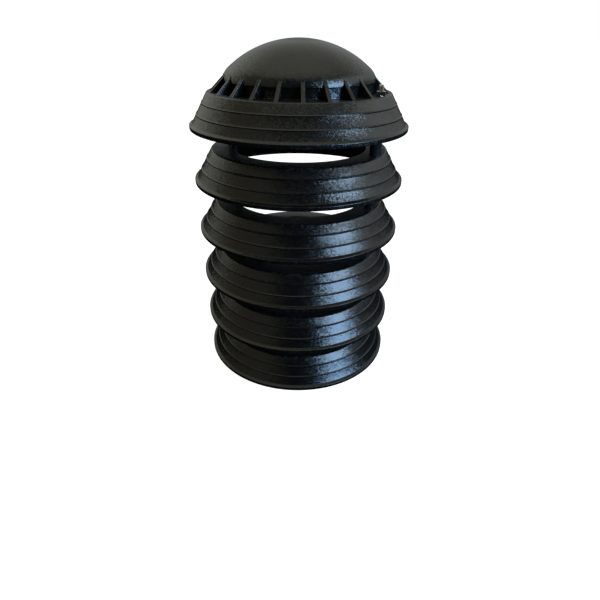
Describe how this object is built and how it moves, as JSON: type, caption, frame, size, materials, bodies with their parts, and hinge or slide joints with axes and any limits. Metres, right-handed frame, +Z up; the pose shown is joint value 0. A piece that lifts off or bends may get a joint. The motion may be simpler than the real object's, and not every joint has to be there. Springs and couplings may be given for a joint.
{
  "type": "roof vent cover",
  "caption": "Louvred roof vent cover: domed cap with radial fins over stacked flared rings, held apart by spacer tubes on threaded rods, open to the air between rings.",
  "frame": {"origin": "centre of the lowest ring's lip, on the plane that stands on the roof", "axes": "+Z up along the stack towards the dome; -Y is the front, with one rod end in view at the front right"},
  "size_m": [0.2008, 0.2008, 0.3109],
  "materials": {
    "body_plastic": "black, fine spark-eroded grain, satin",
    "spacer_plastic": "black, smooth drawn tube",
    "zinc_steel": "bright zinc plate"
  },
  "bodies": {
    "root": {"domed_cap": "body_plastic", "louvre_ring_1": "body_plastic", "louvre_ring_2": "body_plastic", "louvre_ring_3": "body_plastic", "louvre_ring_4": "body_plastic", "louvre_ring_5": "body_plastic", "front_rod": "zinc_steel", "back_rod": "zinc_steel", "front_top_nut": "zinc_steel", "back_top_nut": "zinc_steel", "front_bottom_nut": "zinc_steel", "back_bottom_nut": "zinc_steel", "front_spacer_1": "spacer_plastic", "front_spacer_2": "spacer_plastic", "front_spacer_3": "spacer_plastic", "front_spacer_4": "spacer_plastic", "front_spacer_5": "spacer_plastic", "back_spacer_1": "spacer_plastic", "back_spacer_2": "spacer_plastic", "back_spacer_3": "spacer_plastic", "back_spacer_4": "spacer_plastic", "back_spacer_5": "spacer_plastic"}
  },
  "joints": []
}
